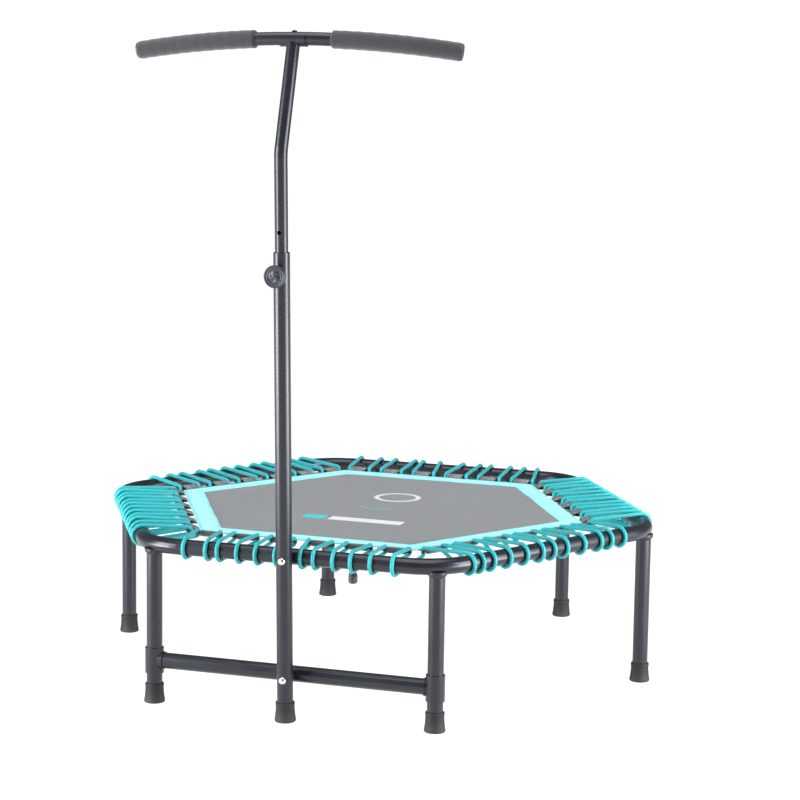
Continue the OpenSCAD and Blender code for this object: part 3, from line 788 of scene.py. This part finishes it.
def make_grips():
    half = math.asin(BAR_L / 2 / BAR_ARC_R) * BAR_ARC_R
    bare = math.asin(BAR_BARE / 2 / BAR_ARC_R) * BAR_ARC_R
    edge = 5 * MM
    for side, hand in (("left", -1), ("right", 1)):
        offsets, radii = [], []
        for i in range(7):
            a = i / 6 * math.pi / 2
            offsets.append(bare + edge * (1 - math.cos(a)))
            radii.append(GRIP_R - edge * (1 - math.sin(a)) * 0.8)
        body = np.linspace(bare + edge, half - edge, 60)[1:-1]
        offsets += list(body)
        radii += [GRIP_R + 0.25 * MM * math.sin(x * 260) for x in body]
        for i in range(7):
            a = i / 6 * math.pi / 2
            offsets.append(half + 2 * MM - edge * (1 - math.sin(a)))
            radii.append(GRIP_R - edge * (1 - math.cos(a)))
        path = [along_bar(hand * x) for x in offsets]
        grip = swept_tube(f"foam_grip_{side}", np.array(path), np.array(radii), 40)
        dress(grip, grip_foam)
        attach(grip, "mast")
        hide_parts(f"grip_{side}")


make_grips()


# ---------------------------------------------------------------- mat
def tab_wave(along, depth):
    """How far the mat's edge is pulled in at a distance along its side."""
    return depth * (0.5 + 0.5 * np.cos(2 * math.pi * along / TAB_PITCH)) * (
        np.abs(along) < 2.9 * TAB_PITCH
    )


def make_mat():
    rings = 60
    corner = [
        Vector((math.cos(k * STEP_ANGLE + MAT_TWIST), math.sin(k * STEP_ANGLE + MAT_TWIST)))
        for k in range(6)
    ]
    points, index = [], {}
    middle_z = (sheet_low.z + sheet_high.z) / 2
    for a in range(rings + 1):
        for k in range(6):
            for b in range(a if a else int(k == 0)):
                share = b / a if a else 0.0
                spot = corner[k] * (1 - share) + corner[(k + 1) % 6] * share
                spot = spot * (MAT_CORNER_R * a / rings)
                along = (share - 0.5) * MAT_CORNER_R
                pull = float(tab_wave(along, EDGE_PULL)) if a else 0.0
                edge = (a / rings) ** 6
                out = (corner[k] + corner[(k + 1) % 6]).normalized()
                spot = spot - out * pull * edge
                ripple = 0.25 * MM * edge * math.sin(2 * math.pi * along / TAB_PITCH)
                index[(a, k, b)] = len(points)
                points.append((spot.x + CENTRE.x, spot.y + CENTRE.y, middle_z + ripple))

    def at(a, k, b):
        if a == 0:
            return index[(0, 0, 0)]
        if b == a:
            return index[(a, (k + 1) % 6, 0)]
        return index[(a, k, b)]

    faces = []
    for a in range(1, rings + 1):
        for k in range(6):
            for b in range(a):
                faces.append((at(a, k, b), at(a, k, b + 1), at(a - 1, k, b)))
                if b < a - 1:
                    faces.append((at(a, k, b + 1), at(a - 1, k, b + 1), at(a - 1, k, b)))
    mat = mesh_object("woven_mat", points, faces)
    thick = mat.modifiers.new("thickness", "SOLIDIFY")
    thick.thickness = sheet_high.z - sheet_low.z
    thick.offset = 0.0
    dress(mat, fabric)
    return mat


mat = make_mat()
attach(mat, "mat")
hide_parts("mat_sheet")


def seam_wave(phases, turn):
    """How far the band's inner edge wanders, going round the mat."""
    wave = 0.7 * MM * math.sin(turn * 9 + phases[0]) + 0.5 * MM * math.sin(turn * 23 + phases[1])
    return wave + 0.25 * MM * math.sin(turn * 71 + phases[2])


def make_border():
    """The sewn band: rolled edges, puckers along its seams and a mitre fold at each corner."""
    per_side, across = 150, 14
    inner = MAT_APOTHEM - BORDER_W
    random.seed(11)
    phases = [random.uniform(0, 6.28) for _ in range(8)]
    points, faces = [], []
    height = border_high.z - border_low.z
    for k in range(6):
        for i in range(per_side):
            share = i / per_side
            turn = k + share
            wave = seam_wave(phases, turn)
            calm = math.sin(math.pi * share)
            for j in range(across + 1):
                t = j / across
                reach = inner + BORDER_W * t
                half = reach * math.tan(STEP_ANGLE / 2)
                along = -half + 2 * half * share
                if t < 0.5:
                    shift = wave * (1 - 2 * t) * calm
                else:
                    shift = -float(tab_wave(np.array(along), EDGE_PULL)) * (2 * t - 1)
                edge = 1 - abs(2 * t - 1) ** 7
                puckers = sum(
                    0.35 * math.exp(-(((t - s) / 0.035) ** 2)) for s in BAND_SEAMS
                ) + 0.10 * math.sin(turn * 420 + phases[3] + 5 * t) * math.exp(
                    -(((t - 0.17) / 0.14) ** 2)
                )
                fold = 0.35 * math.exp(-((min(share, 1 - share) * 2 * half / (1.2 * MM)) ** 2))
                top = height * (0.25 + 0.75 * edge) * (1 - 0.5 * min(1, puckers + fold))
                x, y, _ = on_side(k, [(reach + shift, along, 0)], MAT_TWIST)[0]
                points.append((x, y, border_low.z + top))
            for t in (1, 0):
                half = (inner + BORDER_W * t) * math.tan(STEP_ANGLE / 2)
                along = -half + 2 * half * share
                if t:
                    shift = -float(tab_wave(np.array(along), EDGE_PULL))
                else:
                    shift = wave * calm
                x, y, _ = on_side(k, [(inner + BORDER_W * t + shift, along, 0)], MAT_TWIST)[0]
                points.append((x, y, border_low.z + 0.02 * MM))
    row = across + 3
    total = 6 * per_side
    for i in range(total):
        n = (i + 1) % total
        for j in range(row):
            m = (j + 1) % row
            faces.append((i * row + j, i * row + m, n * row + m, n * row + j))
    border = mesh_object("mat_border_band", points, faces)
    sharpen(border, 60)
    return dress(border, band)


border = make_border()
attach(border, "mat")
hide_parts("mat_border")


def add_stitch(points, faces, place, run, across, rise, length, width):
    """One stitch: a short low hump of thread."""
    base = len(points)
    for t, size in ((-0.5, 0.35), (-0.3, 1.0), (0.3, 1.0), (0.5, 0.35)):
        for a in range(5):
            angle = 2 * math.pi * a / 5
            p = place + run * (t * length)
            p = p + across * (math.cos(angle) * width * size / 2)
            p = p + rise * ((math.sin(angle) * 0.5 + 0.5) * width * size * 0.6)
            points.append(p)
    for i in range(3):
        for a in range(5):
            n = (a + 1) % 5
            low, high = base + i * 5, base + (i + 1) * 5
            faces.append((low + a, low + n, high + n, high + a))
    faces.append(tuple(base + a for a in reversed(range(5))))
    faces.append(tuple(base + 15 + a for a in range(5)))


def make_band_stitches():
    points, faces = [], []
    up = np.array((0, 0, 1.0))
    inner = MAT_APOTHEM - BORDER_W
    for share in BAND_SEAMS:
        apothem = inner + BORDER_W * share
        half = apothem * math.tan(STEP_ANGLE / 2)
        count = round(2 * half / (5 * MM))
        for k in range(6):
            ends = on_side(k, [(apothem, -half, 0), (apothem, half, 0)], MAT_TWIST)
            run = (ends[1] - ends[0]) / (2 * half)
            out = np.cross(run, up)
            for i in range(count):
                t = (i + 0.5) / count
                along = -half + 2 * half * t
                pull = 0.0
                if share > 0.5:
                    pull = float(tab_wave(np.array(along), EDGE_PULL)) * (2 * share - 1)
                place = ends[0] * (1 - t) + ends[1] * t - out * pull
                place = place + up * (border_low.z + (border_high.z - border_low.z) * 0.76)
                add_stitch(points, faces, place, run, out, up, 3.6 * MM, 0.9 * MM)
    stitches = mesh_object("mat_band_stitches", points, faces)
    dress(stitches, band_thread)
    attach(stitches, "mat")
    return stitches


band_stitches = make_band_stitches()


# ---------------------------------------------------------------- plain printed mark, generic
def flat_piece(name, outline_rows, material):
    """A thin printed shape on the mat: rows of (outer, inner) points in the mat's own x and y."""
    z = sheet_high.z + 0.15 * MM
    c, s = math.cos(MAT_TWIST), math.sin(MAT_TWIST)
    points, faces = [], []
    for (ax, ay), (bx, by) in outline_rows:
        for x, y in ((ax, ay), (bx, by)):
            points.append((x * c - y * s + CENTRE.x, x * s + y * c + CENTRE.y, z))
    for i in range(len(outline_rows) - 1):
        faces.append((2 * i, 2 * i + 2, 2 * i + 3, 2 * i + 1))
    piece = mesh_object(name, points, faces)
    dress(piece, material)
    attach(piece, "mat")
    return piece


MARK_X, MARK_Y = 5 * MM, 118 * MM
BAR_TOP, BAR_FOOT = -142 * MM, -178 * MM


def mark_point(angle, wide, high):
    return MARK_X + wide * math.cos(angle), MARK_Y + high * math.sin(angle)


def make_mark():
    ring = []
    for i in range(97):
        a = 2 * math.pi * i / 96
        ring.append((mark_point(a, 52 * MM, 52 * MM), mark_point(a, 41 * MM, 41 * MM)))
    flat_piece("mark_ring", ring, white_ink)
    arc = []
    for i in range(33):
        a = math.radians(240 + 60 * i / 32)
        arc.append((mark_point(a, 78 * MM, 150 * MM), mark_point(a, 76 * MM, 145 * MM)))
    flat_piece("mark_arc", arc, teal_ink)
    for name, low, high, ink in (
        ("mark_bar_short", -105, -55, teal_ink),
        ("mark_bar_long", -45, 118, white_ink),
    ):
        rows = [((x * MM, BAR_TOP), (x * MM, BAR_FOOT)) for x in np.linspace(low, high, 9)]
        flat_piece(name, rows, ink)


make_mark()


# ---------------------------------------------------------------- webbing tabs
def tab_line():
    """The fold of one tab, from its lip under the mat, out round the rod and back to the mat's edge."""
    wall = TAB_WALL
    radius = TAB_BORE_R + wall / 2
    out = ROD_OUT - 1.9 * MM
    line = [
        (MAT_APOTHEM - 16 * MM, MAT_Z - wall * 0.56),
        (MAT_APOTHEM - 8 * MM, MAT_Z - wall * 0.56),
        (MAT_APOTHEM, MAT_Z - wall * 0.52),
        (MAT_APOTHEM + 5 * MM, MAT_Z - wall * 0.5),
    ]
    for i in range(17):
        a = math.radians(-112 + i * (224 / 16))
        line.append((out + radius * math.cos(a), ROD_Z + radius * math.sin(a)))
    line += [
        (MAT_APOTHEM + 12 * MM, ROD_Z + 3.4 * MM),
        (MAT_APOTHEM + 6 * MM, ROD_Z + 1.6 * MM),
        (MAT_APOTHEM + 1.6 * MM, ROD_Z + 0.1 * MM),
    ]
    fine = []
    for a, b in zip(line, line[1:]):
        for i in range(3):
            t = i / 3
            fine.append((a[0] * (1 - t) + b[0] * t, a[1] * (1 - t) + b[1] * t))
    fine.append(line[-1])
    fine = np.array(fine)
    for _ in range(4):
        fine[1:-1] = (fine[:-2] + 2 * fine[1:-1] + fine[2:]) / 4
    return fine


def tab_section(width, wall):
    """A webbing's section: across and through, with soft edges."""
    across = 10
    rim = [(-0.5, -0.28), (-0.515, 0.0), (-0.5, 0.28)]
    top = [(-0.48 + 0.96 * i / across, 0.5) for i in range(across + 1)]
    section = rim + top + [(-x, -y) for x, y in rim] + [(-x, -y) for x, y in top]
    return [(x * width, y * wall) for x, y in section]


def make_tabs():
    line = tab_line()
    run = np.concatenate([[0], np.cumsum(np.linalg.norm(np.diff(line, axis=0), axis=1))])
    slope = np.gradient(line, axis=0)
    slope /= np.linalg.norm(slope, axis=1)[:, None]
    through = np.column_stack([slope[:, 1], -slope[:, 0]])
    random.seed(5)
    for k, side in enumerate(SIDES):
        points, faces, uvs = [], [], []
        stitch_points, stitch_faces = [], []
        for i in range(TAB_COUNT):
            middle = (i - (TAB_COUNT - 1) / 2) * TAB_PITCH + random.uniform(-0.8, 0.8) * MM
            skew = random.uniform(-0.035, 0.035)
            section = tab_section(TAB_W - random.uniform(0.4, 1.6) * MM, 1.6 * MM)
            base = len(points)
            for (out, z), (nx, nz) in zip(line, through):
                for s, h in section:
                    pinch = 1 - 0.05 * math.exp(-(((out - MAT_APOTHEM - 5 * MM) / (5 * MM)) ** 2))
                    local = (
                        out + nx * h,
                        middle + s * pinch + (out - MAT_APOTHEM) * skew,
                        z + nz * h,
                    )
                    points.append(on_side(k, [local], MAT_TWIST)[0])
            n = len(section)
            for r in range(len(line) - 1):
                for j in range(n):
                    m = (j + 1) % n
                    a, b = base + r * n, base + (r + 1) * n
                    faces.append((a + j, a + m, b + m, b + j))
                    u, v = section[j][0] / TAB_W + 0.5, section[m][0] / TAB_W + 0.5
                    uvs += [(u, run[r]), (v, run[r]), (v, run[r + 1]), (u, run[r + 1])]
            faces.append(tuple(base + j for j in reversed(range(n))))
            faces.append(tuple(base + (len(line) - 1) * n + j for j in range(n)))
            uvs += [(0.5, 0.0)] * n + [(0.5, run[-1])] * n
            for share in (0.80, 0.86):
                spot = int(share * (len(line) - 1))
                for j in range(8):
                    s = (j - 3.5) / 8 * (TAB_W - 5 * MM)
                    nx, nz = through[spot]
                    out = line[spot, 0] + nx * 0.7 * MM
                    z = line[spot, 1] + nz * 0.7 * MM
                    place = on_side(k, [(out, middle + s, z)], MAT_TWIST)[0]
                    axes = on_side(k, [(0, 0, 0), (0, 1, 0), (nx, 0, nz)], MAT_TWIST)
                    along = axes[1] - axes[0]
                    rise = axes[2] - axes[0]
                    side_way = np.cross(along, rise)
                    lists = (stitch_points, stitch_faces)
                    add_stitch(*lists, place, along, side_way, rise, 3.0 * MM, 0.8 * MM)
        tabs = mesh_object(f"webbing_tabs_{side}", points, faces, uvs)
        sharpen(tabs, 60)
        dress(tabs, tab_webbing)
        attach(tabs, "mat")
        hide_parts(f"tabs_{side}")
        stitches = mesh_object(f"tab_stitches_{side}", stitch_points, stitch_faces)
        dress(stitches, tab_thread)
        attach(stitches, "mat")


make_tabs()


# ---------------------------------------------------------------- studio
# Soft boxes: name, place, what they face, width, height, power
SOFT_BOXES = (
    ("softbox_left", (-2.6, -2.4, 1.25), (0, 0, 0.5), 1.7, 2.5, 185),
    ("softbox_right", (3.3, -0.3, 1.25), (0, 0, 0.5), 1.7, 2.5, 165),
    ("softbox_low_left", (-1.9, -1.6, 0.03), (-1.1, -0.9, 0.6), 1.6, 1.0, 55),
    ("softbox_low_right", (2.1, -0.5, 0.03), (1.2, -0.3, 0.6), 1.6, 1.0, 50),
    ("softbox_top", (0, -0.6, 4.2), (0, 0, 0), 3.4, 3.4, 120),
)
LIGHT_COLOUR = (0.94, 0.955, 1)
FLOOR_HALF = 14


def make_light(name, place, target, width, height, power):
    data = bpy.data.lights.new(name, "AREA")
    data.shape = "RECTANGLE"
    data.size, data.size_y = width, height
    data.energy = power
    data.color = LIGHT_COLOUR
    light = bpy.data.objects.new(name, data)
    light.location = place
    facing = Vector(target) - Vector(place)
    light.rotation_euler = facing.to_track_quat("-Z", "Y").to_euler()
    light.visible_camera = False
    bpy.context.scene.collection.objects.link(light)


def make_studio():
    size = FLOOR_HALF
    floor = mesh_object(
        "studio_floor",
        [(-size, -size, 0), (size, -size, 0), (size, size, 0), (-size, size, 0)],
        [(0, 1, 2, 3)],
        smooth=False,
    )
    dress(floor, floor_paint())
    world = bpy.data.worlds.new("studio")
    bpy.context.scene.world = world
    world.use_nodes = True
    tree = world.node_tree
    backdrop = tree.nodes["Background"]
    backdrop.inputs[0].default_value = (1, 1, 1, 1)
    backdrop.inputs[1].default_value = 1.05
    around = tree.nodes.new("ShaderNodeBackground")
    around.inputs[0].default_value = (0.96, 0.98, 1, 1)
    around.inputs[1].default_value = 0.16
    rays = tree.nodes.new("ShaderNodeLightPath")
    blend = tree.nodes.new("ShaderNodeMixShader")
    tree.links.new(rays.outputs["Is Camera Ray"], blend.inputs[0])
    tree.links.new(around.outputs[0], blend.inputs[1])
    tree.links.new(backdrop.outputs[0], blend.inputs[2])
    tree.links.new(blend.outputs[0], tree.nodes["World Output"].inputs[0])
    for box in SOFT_BOXES:
        make_light(*box)
    bpy.context.scene.view_settings.view_transform = "Standard"


make_studio()
